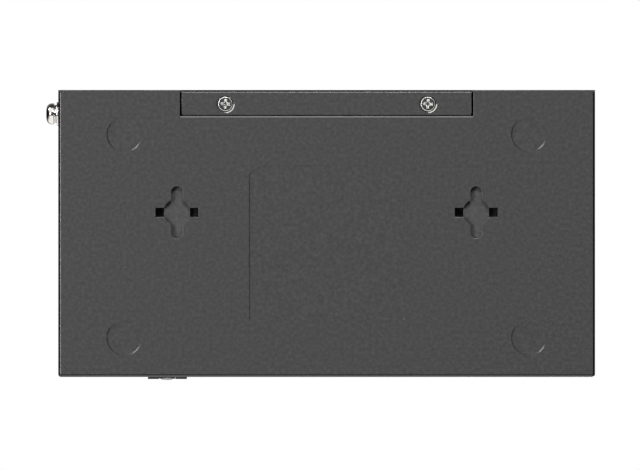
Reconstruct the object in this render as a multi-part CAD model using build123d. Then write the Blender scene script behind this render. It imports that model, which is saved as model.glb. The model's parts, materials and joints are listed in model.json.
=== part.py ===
from build123d import *
import os

# A five-port desktop ethernet router in a folded steel case. Millimetres, +Z up.
# The origin is the middle of the base's underside. The ports face -Y, and the rear is +Y.

# Case
case_width = 202.0
case_depth = 108.0
case_height = 28.0
sheet = 0.8
bend_radius = 1.1
fit_gap = 0.15
slip_gap = 0.1

# Base tray
flange_depth = 6.0
flange_relief = 0.7
corner_relief_width = 1.74
corner_relief_depth = 0.87
notch_width = 110.3
notch_depth = 9.81
notch_corner_radius = 1.1
shelf_side_gap = 1.2
shelf_rear_gap = 0.3

# Cover
lip_height = 6.0
lip_rear_relief = 3.5
tongue_reach = 4.2
tongue_side_gap = 2.0
tab_side_gap = 0.65
tab_front_gap = 0.45
tab_corner_radius = 0.8

# Cover screws
cover_screw_pitch = 76.2
cover_screw_inset = 5.25
cover_screw_size = 3.0
cover_screw_length = 4.6
cover_head_width = 5.65
cover_head_height = 1.55
dimple_width = 7.0
dimple_taper = 0.5
dimple_wall = 0.58
dimple_depth = 1.7
tapped_boss_width = 4.6
tapped_boss_height = 1.2
thread_gap = 0.03
hole_gap = 0.2

# Underside
foot_recess_width = 13.5
foot_recess_depth = 0.4
coined_slope = 50.0
foot_pitch_x = 152.2
foot_rear_y = 37.3
foot_front_y = -39.25
label_width = 58.5
label_length = 58.4
label_centre_y = -3.18
label_depth = 0.3
label_chamfer = 3.8
label_corner_radius = 0.6
keyhole_pitch = 112.6
keyhole_y = 7.95
keyhole_width = 10.1
keyhole_slot_width = 4.25
keyhole_slot_length = 19.6
keyhole_arm_width = 3.4
keyhole_arm_length = 16.1

# Straps behind the keyholes
strap_width = 9.7
strap_rise = 2.2
strap_foot = 4.5
strap_slope = 1.2
strap_end_gap = 1.9

# Side vents
vent_width = 1.8
vent_height = 12.0
vent_pitch = 5.4
vent_count = 11
vent_centre_y = -5.0
vent_centre_z = 15.0

# Ground screw on the +X wall
ground_inset = 8.8
ground_z = 14.0
ground_size = 4.0
ground_length = 8.0
ground_head_width = 7.95
ground_head_height = 2.9
ground_head_bevel = 0.8
ground_washer_width = 8.95
ground_washer_thickness = 0.9
spring_washer_width = 6.8
spring_washer_thickness = 1.05
spring_washer_split = 0.7
ground_nut_width = 8.0
ground_nut_thickness = 3.0
cross_width = 0.94
cross_span = 3.7
cross_depth = 1.0
ground_cross_width = 1.2
ground_cross_span = 4.4
ground_cross_depth = 1.8

# Circuit board
board_side_gap = 5.2
board_rise = 5.0
board_thickness = 1.6
board_front_gap = 0.5
board_rear_y = 42.0
board_corner = 2.0
standoff_width = 5.5
standoff_inset_x = 6.0
standoff_front_y = -34.0
standoff_rear_y = 35.0
board_screw_size = 3.0
board_screw_length = 4.6
board_head_width = 5.4
board_head_height = 1.9

# Network sockets
port_count = 5
port_pitch = 13.97
jack_block_centre_x = 9.0
jack_block_margin = 1.0
jack_block_height = 13.4
jack_block_depth = 21.4
jack_shell = 0.3
jack_front_set = 0.25
port_width = 11.7
port_body_height = 6.8
port_latch_width = 6.4
port_latch_height = 1.4
port_notch_width = 3.4
port_notch_height = 1.3
port_floor = 1.5
port_depth = 14.5
window_gap = 0.3
contact_count = 8
contact_pitch = 1.02
contact_width = 0.42
contact_thickness = 0.3
contact_front_set = 2.0
contact_run = 9.7
contact_drop = 2.0

# Optical module cage
cage_inset = 34.9
cage_width = 14.0
cage_height = 9.8
cage_length = 48.0
cage_shell = 0.3
cage_seat = 0.05
cage_proud = 0.87
cage_vent_width = 2.2
cage_vent_pitch = 4.4
cage_vent_columns = 3
cage_vent_rows = 4
cage_vent_start = 9.0
cage_pin_width = 0.7
cage_pin_count = 3
cage_pin_pitch = 16.0
cage_pin_start = 8.0
latch_slot_width = 0.6
latch_slot_length = 9.0
latch_tongue_width = 5.2
latch_lip_reach = 1.17
latch_lip_start = 0.36
latch_lip_middle = 0.79
latch_lip_drop = 20.0
latch_hole_width = 2.8
latch_hole_set = 4.5
ring_width = 14.6
ring_length = 4.2
finger_slot_width = 0.6
finger_slot_length = 2.9
finger_count_wide = 4
finger_count_tall = 3
cage_connector_width = 11.2
cage_connector_length = 8.6
cage_connector_height = 5.6
cage_connector_rear_set = 2.2
cage_connector_gap = 0.4
edge_slot_width = 9.6
edge_slot_height = 1.3
edge_slot_depth = 4.5
edge_slot_rise = 2.9

# Power socket
power_inset = 13.0
power_width = 9.0
power_length = 14.2
power_bore = 6.4
power_bore_depth = 9.6
power_axis_rise = 6.5
power_pin_width = 2.0
power_pin_length = 8.6
power_window = 7.6
power_spring_width = 2.6
power_spring_thickness = 0.35

# Reset switch behind its pinhole
reset_x = -38.0
reset_hole = 2.0
reset_rise = 3.9
reset_body_width = 6.2
reset_body_height = 6.6
reset_body_depth = 4.0
reset_body_set = 4.0
plunger_width = 3.2
plunger_gap = 0.1
plunger_proud = 1.9
plunger_depth = 1.9
plunger_bore_depth = 2.6

# Status lights
light_count = 8
light_pitch = 5.2
light_first_inset = 9.4
light_rise = 3.6
light_window_width = 2.6
light_window_height = 1.4
light_gap = 0.08
light_bar_thickness = 1.6
light_bar_height = 2.6
light_bar_set = 4.2
light_stem_width = 1.7
led_width = 1.6
led_length = 1.2
led_height = 0.6
led_gap = 0.15

# Parts on the circuit board
processor_x = -30.0
processor_y = 6.0
processor_size = 17.0
processor_height = 1.3
pad_height = 0.5
sink_size = 30.0
sink_base = 1.8
sink_height = 8.0
sink_fin_count = 8
sink_fin_thickness = 1.1
switch_chip_x = 9.0
switch_chip_y = -8.0
switch_chip_size = 14.0
chip_height = 1.0
memory_x = -56.0
memory_y = 6.0
memory_width = 9.0
memory_length = 13.0
flash_x = -30.0
flash_y = 31.0
flash_width = 8.0
flash_length = 6.0
magnetics_gap = 2.35
magnetics_width = 12.6
magnetics_length = 9.0
magnetics_height = 5.4
inductor_size = 7.3
inductor_height = 4.2
inductor_corner = 1.4
inductor_inset = 21.0
inductor_first_y = 2.0
inductor_pitch = 11.0
inductor_count = 3
capacitor_width = 8.0
capacitor_height = 10.5
capacitor_inset = 7.5
capacitor_first_y = -24.0
capacitor_pitch = 11.5
capacitor_count = 2
crystal_width = 5.0
crystal_length = 3.2
crystal_height = 0.9
crystal_corner = 0.5
film_width = 92.0
film_length = 78.0
film_centre_y = -2.0
film_thickness = 0.2

# Worked out from the sizes above
half_width = case_width / 2
half_depth = case_depth / 2
front_y = -half_depth
front_inner_y = front_y + sheet
side_inner_x = half_width - sheet
rear_inner_y = half_depth - sheet
side_wall_end_y = half_depth - corner_relief_depth
inner_radius = bend_radius - sheet
middle_radius = bend_radius - sheet / 2
flange_end_y = front_y + flange_depth
notch_front_y = half_depth - notch_depth
shelf_under_z = dimple_depth + sheet + slip_gap
shelf_top_z = shelf_under_z + sheet
shelf_half_width = notch_width / 2 - shelf_side_gap
cover_screw_y = half_depth - cover_screw_inset
ground_y = half_depth - ground_inset
cover_screw_places = [(-cover_screw_pitch / 2, cover_screw_y), (cover_screw_pitch / 2, cover_screw_y)]
foot_places = [(x, y) for x in (-foot_pitch_x / 2, foot_pitch_x / 2) for y in (foot_front_y, foot_rear_y)]
keyhole_places = {"left": -keyhole_pitch / 2, "right": keyhole_pitch / 2}
board_half_width = side_inner_x - board_side_gap
standoff_x = board_half_width - standoff_inset_x
standoff_places = [(x, y) for x in (-standoff_x, standoff_x) for y in (standoff_front_y, standoff_rear_y)]
board_under_z = sheet + board_rise
board_top_z = board_under_z + board_thickness
board_front_y = front_inner_y + board_front_gap
jack_block_width = port_count * port_pitch + 2 * jack_block_margin
jack_front_y = front_y + jack_front_set
jack_rear_y = jack_front_y + jack_block_depth
magnetics_y = jack_rear_y + magnetics_gap + magnetics_length / 2
port_xs = [jack_block_centre_x + (i - (port_count - 1) / 2) * port_pitch for i in range(port_count)]
port_body_low_z = board_top_z + port_floor + port_notch_height + port_latch_height
port_top_z = port_body_low_z + port_body_height
cage_centre_x = board_half_width - cage_inset
cage_low_z = board_top_z + cage_seat + (ring_width - cage_width) / 2
cage_centre_z = cage_low_z + cage_height / 2
cage_front_y = front_y - cage_proud
cage_rear_y = cage_front_y + cage_length
ring_height = cage_height + ring_width - cage_width
cage_window_half = ring_width / 2 + window_gap
cage_connector_rear_y = cage_rear_y - cage_connector_rear_set
cage_connector_front_y = cage_connector_rear_y - cage_connector_length
power_x = board_half_width - power_inset
power_axis_z = board_top_z + power_axis_rise
power_front_y = front_inner_y + slip_gap
reset_z = board_top_z + reset_rise
reset_body_front_y = front_inner_y + reset_body_set
light_z = board_top_z + light_rise
light_xs = [-half_width + light_first_inset + i * light_pitch for i in range(light_count)]
light_bar_y = front_inner_y + light_bar_set
capacitor_x = board_half_width - capacitor_inset
capacitor_ys = [capacitor_first_y + i * capacitor_pitch for i in range(capacitor_count)]
inductor_x = board_half_width - inductor_inset
inductor_ys = [inductor_first_y + i * inductor_pitch for i in range(inductor_count)]
crystal_places = [(-10.0, 22.0), (26.0, 8.0)]
beyond = 40.0


def block(low, high):
    """A box between two corners."""
    size = [b - a for a, b in zip(low, high)]
    middle = [(a + b) / 2 for a, b in zip(low, high)]
    return Pos(*middle) * Box(*size)


def rod(diameter, start, end):
    """A cylinder along the axis in which start and end differ."""
    plane = Plane(origin=start, z_dir=Vector(*end) - Vector(*start))
    return extrude(plane * Circle(diameter / 2), amount=(Vector(*end) - Vector(*start)).length)


def edges_at(shape, **where):
    """The shape's edges whose middle lies at the given X, Y and Z."""
    found = list(shape.edges())
    for name, value in where.items():
        found = [edge for edge in found if abs(getattr(edge.center(), name) - value) < 1e-4]
    return found


def folded(points, radius, low_x, high_x):
    """A folded sheet whose middle line runs through points of the YZ plane, from low_x to high_x."""
    line = FilletPolyline(*points, radius=radius)
    profile = Plane.YZ.offset(low_x) * trace(line, sheet)
    return extrude(profile, amount=high_x - low_x)


def rounded_pan(low, high, radius, corners):
    """A box rounded at its front, left and right bends, and at its upright front corners if asked."""
    pan = block(low, high)
    chosen = [edge for edge in edges_at(pan, Y=low[1]) if corners or abs(edge.center().X) < 1]
    chosen += edges_at(pan, Z=low[2], X=low[0]) + edges_at(pan, Z=low[2], X=high[0])
    return fillet(chosen, radius)


def keyhole_outline():
    """A round hole crossed by a long rounded slot and a shorter square one."""
    slot = Rot(0, 0, 90) * SlotOverall(keyhole_slot_length, keyhole_slot_width)
    return Circle(keyhole_width / 2) + slot + Rectangle(keyhole_arm_length, keyhole_arm_width)


def label_outline():
    """The square field for a label, with one corner cut."""
    field = Rectangle(label_width, label_length)
    cut_corner = field.vertices().sort_by(lambda v: v.X + v.Y)[-1]
    field = chamfer(cut_corner, label_chamfer)
    round_corners = field.vertices().sort_by(lambda v: v.X + v.Y)[0:1]
    round_corners += [v for v in field.vertices() if v.X * v.Y < 0 and abs(abs(v.X) - abs(v.Y)) < 1]
    return Pos(0, label_centre_y) * fillet(round_corners, label_corner_radius)


def coin(base, outline, depth):
    """Presses a shallow flat recess with sloping walls into the underside."""
    return base - extrude(Plane.XY * outline, amount=depth, taper=coined_slope)


def light_finger(x, low_y, high_y, gap):
    """The straight run through one status light's window, smaller by a gap all round."""
    half = light_window_width / 2 - gap
    tall = light_window_height / 2 - gap
    return block((x - half, low_y, light_z - tall), (x + half, high_y, light_z + tall))


def front_openings():
    """The cut-outs of the front wall, as solids that pass through it."""
    back = front_inner_y + sheet
    cuts = [
        block(
            (jack_block_centre_x - jack_block_width / 2 - window_gap, front_y - 1, board_top_z - window_gap),
            (jack_block_centre_x + jack_block_width / 2 + window_gap, back,
             board_top_z + jack_block_height + window_gap),
        ),
        block(
            (cage_centre_x - cage_window_half, front_y - 1, cage_centre_z - ring_height / 2 - window_gap),
            (cage_centre_x + cage_window_half, back, cage_centre_z + ring_height / 2 + window_gap),
        ),
        rod(power_window, (power_x, front_y - 1, power_axis_z), (power_x, back, power_axis_z)),
        rod(reset_hole, (reset_x, front_y - 1, reset_z), (reset_x, back, reset_z)),
    ]
    cuts += [light_finger(x, front_y - 1, back, 0) for x in light_xs]
    return cuts


def side_vents():
    """A row of upright slots in each side wall."""
    slot = Rectangle(vent_width, vent_height)
    cuts = []
    for i in range(vent_count):
        y = vent_centre_y + (i - (vent_count - 1) / 2) * vent_pitch
        face = Plane.YZ.offset(-half_width - 1) * (Pos(y, vent_centre_z) * slot)
        cuts.append(extrude(face, amount=case_width + 2))
    return cuts


def cover_shelf():
    """The step behind the rear notch, with a tapped boss for each cover screw."""
    middle = notch_front_y - sheet / 2
    shelf = folded(
        [(middle - 4, sheet / 2), (middle, sheet / 2), (middle, shelf_under_z + sheet / 2),
         (rear_inner_y - shelf_rear_gap, shelf_under_z + sheet / 2)],
        middle_radius, -shelf_half_width, shelf_half_width,
    )
    for x, y in cover_screw_places:
        shelf += rod(tapped_boss_width, (x, y, shelf_top_z), (x, y, shelf_top_z + tapped_boss_height))
        shelf -= rod(cover_screw_size + 2 * thread_gap, (x, y, 0), (x, y, beyond))
    return shelf


def base_tray():
    """The bottom, side walls and front wall, folded from one sheet."""
    tray = rounded_pan(
        (-half_width, front_y, 0), (half_width, side_wall_end_y, case_height), bend_radius, True
    )
    tray -= rounded_pan(
        (-side_inner_x, front_inner_y, sheet), (side_inner_x, half_depth + beyond, case_height - sheet),
        inner_radius, False,
    )
    tray -= block(
        (-side_inner_x, flange_end_y, case_height - 2 * sheet), (side_inner_x, half_depth, case_height + 1)
    )
    for side in (-1, 1):
        near, far = sorted((side * side_inner_x, side * (side_inner_x - flange_relief)))
        tray -= block((near, front_inner_y, case_height - 2 * sheet), (far, flange_end_y, case_height + 1))
    plate_end = half_width - corner_relief_width
    tray += block((-plate_end, side_wall_end_y - 1, 0), (plate_end, half_depth, sheet))
    notch = Pos(0, half_depth) * Rectangle(notch_width, 2 * notch_depth)
    tray -= extrude(notch, amount=sheet + 1)
    mouth = [
        edge for edge in tray.edges().filter_by(Axis.Z)
        if abs(edge.center().Y - half_depth) < 1e-4 and abs(abs(edge.center().X) - notch_width / 2) < 1e-4
    ]
    tray = fillet(mouth, notch_corner_radius)
    tray += cover_shelf()
    for x, y in foot_places:
        tray = coin(tray, Pos(x, y) * Circle(foot_recess_width / 2), foot_recess_depth)
    tray = coin(tray, label_outline(), label_depth)
    for x in keyhole_places.values():
        tray -= extrude(Pos(x, keyhole_y) * keyhole_outline(), amount=2 * sheet)
    tray -= front_openings()
    tray -= side_vents()
    return tray - rod(
        ground_size + 2 * hole_gap,
        (side_inner_x - 1, ground_y, ground_z), (half_width + 1, ground_y, ground_z),
    )


def cover_tab():
    """The tab that turns under the rear wall into the notch, with a dimple for each screw head."""
    half_tab = notch_width / 2 - tab_side_gap
    tab_front_y = notch_front_y + tab_front_gap
    wall_middle_y = half_depth - sheet / 2
    tab = folded(
        [(wall_middle_y, case_height / 2), (wall_middle_y, sheet / 2), (tab_front_y, sheet / 2)],
        middle_radius, -half_tab, half_tab,
    )
    corners = [edge for edge in tab.edges().filter_by(Axis.Z) if abs(edge.center().Y - tab_front_y) < 1e-4]
    tab = fillet(corners, tab_corner_radius)
    for x, y in cover_screw_places:
        inner = dimple_width / 2
        outer = inner + dimple_wall
        height = dimple_depth + sheet
        tab += Pos(x, y, height / 2) * Cone(outer, outer - dimple_taper, height)
        tab -= Pos(x, y, dimple_depth / 2) * Cone(inner, inner - dimple_taper, dimple_depth)
        tab -= rod(cover_screw_size + 2 * hole_gap, (x, y, 0), (x, y, sheet + dimple_depth + 1))
    return tab


def top_cover():
    """The top, its inner side lips, the rear wall and the front tongue, folded from one sheet."""
    plate_half = side_inner_x - fit_gap
    lip_inner = plate_half - sheet
    plate_front_y = flange_end_y + sheet + slip_gap
    lip_low_z = case_height - lip_height
    shell = block((-plate_half, plate_front_y, lip_low_z), (plate_half, half_depth, case_height))
    top_edges = edges_at(shell, Z=case_height, X=plate_half) + edges_at(shell, Z=case_height, X=-plate_half)
    shell = fillet(top_edges + edges_at(shell, Z=case_height, Y=half_depth), bend_radius)
    hollow = block((-lip_inner, front_y, 0), (lip_inner, rear_inner_y, case_height - sheet))
    hollow_edges = edges_at(hollow, Z=case_height - sheet, X=lip_inner)
    hollow_edges += edges_at(hollow, Z=case_height - sheet, X=-lip_inner)
    hollow_edges += edges_at(hollow, Z=case_height - sheet, Y=rear_inner_y)
    shell -= fillet(hollow_edges, inner_radius)
    for side in (-1, 1):
        near, far = sorted((side * (lip_inner - 1), side * (plate_half + 1)))
        shell -= block(
            (near, rear_inner_y - lip_rear_relief, 0), (far, rear_inner_y, case_height - bend_radius)
        )
    wall_low_z = sheet + fit_gap
    rear_wall = block(
        (-half_width, rear_inner_y, wall_low_z), (half_width, half_depth, case_height - bend_radius)
    )
    step = sheet + slip_gap
    level = case_height - sheet / 2
    tongue = folded(
        [(plate_front_y + 2, level), (plate_front_y + slip_gap, level),
         (plate_front_y + slip_gap - step, level - step), (flange_end_y - tongue_reach, level - step)],
        step / 2, -side_inner_x + tongue_side_gap, side_inner_x - tongue_side_gap,
    )
    return shell + rear_wall + tongue + cover_tab()


def wall_mount_strap(x):
    """A raised strap that takes a wall screw's head, welded inside the base over a keyhole."""
    low = sheet + sheet / 2
    high = low + strap_rise
    half_span = keyhole_slot_length / 2 + strap_end_gap
    points = [
        (-half_span - strap_slope - strap_foot, low), (-half_span - strap_slope, low), (-half_span, high),
        (half_span, high), (half_span + strap_slope, low), (half_span + strap_slope + strap_foot, low),
    ]
    line_points = [(keyhole_y + y, z) for y, z in points]
    return folded(line_points, sheet / 2 + slip_gap, x - strap_width / 2, x + strap_width / 2)


def cross_recess(width, span, depth):
    """A cross cut, centred on the origin, that goes depth along +Z."""
    cross = Rectangle(span, width) + Rectangle(width, span)
    return extrude(cross, amount=depth)


def cheese_screw(size, length, head_width, head_height):
    """A screw with a plain round head, the head's top at the origin, pointing along +Z."""
    head = extrude(Circle(head_width / 2), amount=head_height)
    return head + extrude(Plane.XY.offset(head_height) * Circle(size / 2), amount=length)


def cover_screw(x, y):
    """A low screw up through the tab's dimple into the shelf."""
    screw = cheese_screw(cover_screw_size, cover_screw_length, cover_head_width, cover_head_height)
    screw -= cross_recess(cross_width, cross_span, cross_depth)
    return Pos(x, y, dimple_depth - cover_head_height) * screw


def ground_axis(distance):
    """A plane on the ground screw's axis, this far out of the side wall, that looks inwards."""
    return Plane(origin=(half_width + distance, ground_y, ground_z), x_dir=(0, 1, 0), z_dir=(-1, 0, 0))


def ground_screw():
    """The ground screw, standing out of the side wall on its two washers."""
    stack = ground_washer_thickness + spring_washer_thickness + ground_head_height
    screw = cheese_screw(ground_size, ground_length, ground_head_width, ground_head_height)
    rim = screw.edges().filter_by(GeomType.CIRCLE).sort_by(Axis.Z)[0]
    screw = chamfer(rim, ground_head_bevel)
    screw -= cross_recess(ground_cross_width, ground_cross_span, ground_cross_depth)
    return ground_axis(stack).location * screw


def ring_washer(outer, inner, thickness, distance):
    """A flat ring on the ground screw's axis, with its inner face this far out of the wall."""
    ring = Circle(outer / 2) - Circle(inner / 2)
    return extrude(ground_axis(distance + thickness) * ring, amount=thickness)


def ground_spring_washer():
    """The split spring washer under the screw's head."""
    washer = ring_washer(
        spring_washer_width, ground_size + hole_gap, spring_washer_thickness, ground_washer_thickness
    )
    split = Rot(0, 0, 25) * Pos(spring_washer_width / 2, 0, 0) * Box(
        spring_washer_width, spring_washer_split, 4 * spring_washer_thickness
    )
    return washer - ground_axis(ground_washer_thickness).location * split


def ground_nut():
    """The nut that is pressed on the inside of the side wall."""
    flat = RegularPolygon(ground_nut_width / 2, 6, major_radius=False) - Circle(ground_size / 2 + thread_gap)
    return extrude(ground_axis(-sheet) * flat, amount=ground_nut_thickness)


def circuit_board():
    """The board that carries the sockets and chips."""
    centre_y = (board_front_y + board_rear_y) / 2
    outline = chamfer(Rectangle(2 * board_half_width, board_rear_y - board_front_y).vertices(), board_corner)
    board = extrude(Plane.XY.offset(board_under_z) * (Pos(0, centre_y) * outline), amount=board_thickness)
    for x, y in standoff_places:
        board -= rod(board_screw_size + 2 * hole_gap, (x, y, 0), (x, y, beyond))
    for x, y in cage_pin_places():
        half = cage_pin_width / 2 + slip_gap
        board -= block((x - half, y - half, 0), (x + half, y + half, beyond))
    return board


def standoffs():
    """Four threaded hexagonal posts, welded on the base under the board."""
    post = RegularPolygon(standoff_width / 2, 6, major_radius=False)
    post -= Circle(board_screw_size / 2 + thread_gap)
    plane = Plane.XY.offset(sheet)
    return [extrude(plane * (Pos(x, y) * post), amount=board_rise) for x, y in standoff_places]


def board_screws():
    """Four hexagon-head screws down through the board into the posts."""
    head = RegularPolygon(board_head_width / 2, 6, major_radius=False)
    shank = extrude(Circle(board_screw_size / 2), amount=-board_screw_length)
    screw = extrude(head, amount=board_head_height) + shank
    return [Pos(x, y, board_top_z) * screw for x, y in standoff_places]


def insulating_film():
    """A thin film stuck on the base's inner face, under the board."""
    low = (-film_width / 2, film_centre_y - film_length / 2, sheet)
    high = (film_width / 2, film_centre_y + film_length / 2, sheet + film_thickness)
    return block(low, high)


def port_outline():
    """The mouth of one network socket, with its latch notch below, at the socket's own x and z."""
    latch_z = port_body_low_z - port_latch_height / 2
    notch_z = port_body_low_z - port_latch_height - port_notch_height / 2
    mouth = Pos(0, port_body_low_z + port_body_height / 2) * Rectangle(port_width, port_body_height)
    mouth += Pos(0, latch_z) * Rectangle(port_latch_width, port_latch_height)
    return mouth + Pos(0, notch_z) * Rectangle(port_notch_width, port_notch_height)


def port_mouths(front, depth):
    """The cavities of all network sockets, from this far forward."""
    plane = Plane(origin=(0, front, 0), x_dir=(1, 0, 0), z_dir=(0, -1, 0))
    return [extrude(plane * (Pos(x, 0) * port_outline()), amount=-depth) for x in port_xs]


def jack_corners(inset, front_inset):
    """The low and high corners of the socket block, taken in by these amounts."""
    half = jack_block_width / 2 - inset
    low = (jack_block_centre_x - half, jack_front_y + front_inset, board_top_z)
    high = (jack_block_centre_x + half, jack_front_y + jack_block_depth - inset,
            board_top_z + jack_block_height - inset)
    return low, high


def network_jack_shield():
    """The bright folded shell round the row of sockets, open below."""
    low, high = jack_corners(0, 0)
    inner_low, inner_high = jack_corners(jack_shell, jack_shell)
    shell = block(low, high) - block((inner_low[0], inner_low[1], 0), inner_high)
    return shell - port_mouths(jack_front_y - 1, 3)


def network_jack_insert():
    """The moulded block inside the shell, with a cavity for each plug."""
    body = block(*jack_corners(jack_shell, jack_shell))
    return body - port_mouths(jack_front_y - 1, port_depth + 1)


def network_jack_contacts():
    """Eight sprung wires in each socket, sloping down from the cavity's ceiling."""
    start = jack_front_y + contact_front_set
    top = port_top_z - contact_thickness / 2
    line = Line((start, top), (start + contact_run, top - contact_drop))
    wires = []
    for port_x in port_xs:
        for i in range(contact_count):
            x = port_x + (i - (contact_count - 1) / 2) * contact_pitch - contact_width / 2
            profile = Plane.YZ.offset(x) * trace(line, contact_thickness)
            wires.append(extrude(profile, amount=contact_width))
    return wires


def cage_pin_places():
    """Where the module cage's pins go through the board, along both of its sides."""
    half = (cage_width - cage_shell) / 2
    ys = [cage_front_y + cage_pin_start + i * cage_pin_pitch for i in range(cage_pin_count)]
    return [(cage_centre_x + side * half, y) for side in (-1, 1) for y in ys]


def latch_lip():
    """The turned-down lip at the front of the cage's latch tongue, as a lens seen from below."""
    half = latch_tongue_width / 2
    front = ThreePointArc((-half, 0), (0, latch_lip_middle - latch_lip_reach), (half, 0))
    back = ThreePointArc((half, 0), (0, latch_lip_middle - latch_lip_start), (-half, 0))
    lens = make_face(front.edges() + back.edges())
    place = Pos(cage_centre_x, front_y - latch_lip_middle, cage_low_z - cage_shell / 2)
    return place * Rot(latch_lip_drop, 0, 0) * extrude(lens, amount=cage_shell)


def optical_cage():
    """The folded cage that takes an optical module, with its vents, pins and latch tongue."""
    half = cage_width / 2
    low = (cage_centre_x - half, cage_front_y, cage_low_z)
    high = (cage_centre_x + half, cage_rear_y, cage_low_z + cage_height)
    cage = block(low, high)
    cage = chamfer(cage.edges().filter_by(Axis.Y), cage_shell)
    hollow = block(
        (low[0] + cage_shell, cage_front_y - 1, low[2] + cage_shell),
        (high[0] - cage_shell, cage_rear_y - cage_shell, high[2] - cage_shell),
    )
    cage -= hollow
    half_opening = cage_connector_width / 2 + cage_connector_gap
    cage -= block(
        (cage_centre_x - half_opening, cage_connector_front_y - cage_connector_gap, low[2] - 1),
        (cage_centre_x + half_opening, cage_rear_y + 1, low[2] + 2 * cage_shell),
    )
    for side in (-1, 1):
        edge = cage_centre_x + side * (latch_tongue_width + latch_slot_width) / 2
        cage -= block(
            (edge - latch_slot_width / 2, cage_front_y - 1, low[2] - 1),
            (edge + latch_slot_width / 2, cage_front_y + latch_slot_length, low[2] + 2 * cage_shell),
        )
    cage -= block(
        (cage_centre_x - latch_hole_width / 2, cage_front_y + latch_hole_set, low[2] - 1),
        (cage_centre_x + latch_hole_width / 2, cage_front_y + latch_hole_set + latch_hole_width, low[2] + 1),
    )
    cage += latch_lip()
    for row in range(cage_vent_rows):
        for column in range(cage_vent_columns):
            x = cage_centre_x + (column - (cage_vent_columns - 1) / 2) * cage_vent_pitch
            y = cage_front_y + cage_vent_start + row * cage_vent_pitch
            vent = RegularPolygon(cage_vent_width / 2, 6)
            cage -= extrude(Plane.XY.offset(high[2] - 2 * cage_shell) * (Pos(x, y) * vent), amount=beyond)
    for x, y in cage_pin_places():
        pin = block(
            (x - cage_shell / 2, y - cage_pin_width / 2, board_under_z),
            (x + cage_shell / 2, y + cage_pin_width / 2, low[2] + 4 * cage_shell),
        )
        cage += pin
    return cage


def finger_slots():
    """The cuts that part the grounding ring into spring fingers."""
    rear = cage_front_y + ring_length
    front = rear - finger_slot_length
    cuts = []
    for i in range(finger_count_wide - 1):
        x = cage_centre_x + (i - (finger_count_wide - 2) / 2) * cage_width / finger_count_wide
        cuts.append(block(
            (x - finger_slot_width / 2, front, cage_low_z - cage_height),
            (x + finger_slot_width / 2, rear + 1, cage_low_z + 2 * cage_height),
        ))
    for i in range(finger_count_tall - 1):
        z = cage_centre_z + (i - (finger_count_tall - 2) / 2) * cage_height / finger_count_tall
        cuts.append(block(
            (cage_centre_x - cage_width, front, z - finger_slot_width / 2),
            (cage_centre_x + cage_width, rear + 1, z + finger_slot_width / 2),
        ))
    return cuts


def optical_cage_ring():
    """The band of grounding fingers round the cage's mouth."""
    plane = Plane(origin=(cage_centre_x, cage_front_y, cage_centre_z), x_dir=(1, 0, 0), z_dir=(0, -1, 0))
    clear = 2 * thread_gap
    outer = chamfer(Rectangle(ring_width, ring_height).vertices(), cage_shell)
    inner = Rectangle(cage_width + clear, cage_height + clear)
    ring = extrude(plane * (outer - inner), amount=-ring_length)
    ring -= finger_slots()
    half = latch_tongue_width / 2 + latch_slot_width
    return ring - block(
        (cage_centre_x - half, cage_front_y - 1, cage_low_z - ring_width),
        (cage_centre_x + half, rear_inner_y, cage_low_z),
    )


def optical_connector():
    """The board connector at the back of the cage, with its slot for a module's edge."""
    half = cage_connector_width / 2
    body = block(
        (cage_centre_x - half, cage_connector_front_y, board_top_z),
        (cage_centre_x + half, cage_connector_rear_y, board_top_z + cage_connector_height),
    )
    body = chamfer(edges_at(body, Y=cage_connector_front_y, Z=board_top_z + cage_connector_height), 1.0)
    slot_z = board_top_z + edge_slot_rise
    return body - block(
        (cage_centre_x - edge_slot_width / 2, cage_connector_front_y - 1, slot_z - edge_slot_height / 2),
        (cage_centre_x + edge_slot_width / 2, cage_connector_front_y + edge_slot_depth,
         slot_z + edge_slot_height / 2),
    )


def power_jack_body():
    """The moulded power socket, round above and square below."""
    plane = Plane(origin=(power_x, power_front_y, power_axis_z), x_dir=(1, 0, 0), z_dir=(0, -1, 0))
    outline = Circle(power_width / 2)
    outline += Pos(0, -power_axis_rise / 2) * Rectangle(power_width, power_axis_rise)
    body = extrude(plane * outline, amount=-power_length)
    body -= extrude(plane * Circle(power_bore / 2), amount=-power_bore_depth)
    half = power_spring_width / 2 + slip_gap
    channel = block(
        (power_x - half, power_front_y + 2, board_top_z),
        (power_x + half, power_front_y + power_bore_depth, power_axis_z),
    )
    return body - channel


def power_jack_pin():
    """The socket's centre pin, standing on the bore's floor."""
    floor = power_front_y + power_bore_depth
    tip = floor - power_pin_length
    return rod(power_pin_width, (power_x, tip, power_axis_z), (power_x, floor, power_axis_z))


def power_jack_spring():
    """The sprung strip below the bore that touches the plug's barrel."""
    front = power_front_y + 2 + slip_gap
    rear = power_front_y + power_bore_depth - slip_gap
    low = board_top_z + power_spring_thickness / 2
    high = power_axis_z - power_bore / 2 + power_spring_thickness
    line = Polyline((front, low), (rear - 1.5, low), (rear - 1, high - 1.2), ((front + rear) / 2, high))
    profile = Plane.YZ.offset(power_x - power_spring_width / 2) * trace(line, power_spring_thickness)
    return extrude(profile, amount=power_spring_width)


def reset_switch():
    """The switch housing, with a bore for its button."""
    half = reset_body_width / 2
    body = block(
        (reset_x - half, reset_body_front_y, board_top_z),
        (reset_x + half, reset_body_front_y + reset_body_depth, board_top_z + reset_body_height),
    )
    return body - rod(
        plunger_width + 2 * plunger_gap, (reset_x, reset_body_front_y - 1, reset_z),
        (reset_x, reset_body_front_y + plunger_bore_depth, reset_z),
    )


def reset_button():
    """The button that a pin pushes through the pinhole."""
    return rod(
        plunger_width, (reset_x, reset_body_front_y - plunger_proud, reset_z),
        (reset_x, reset_body_front_y + plunger_depth, reset_z),
    )


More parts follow.
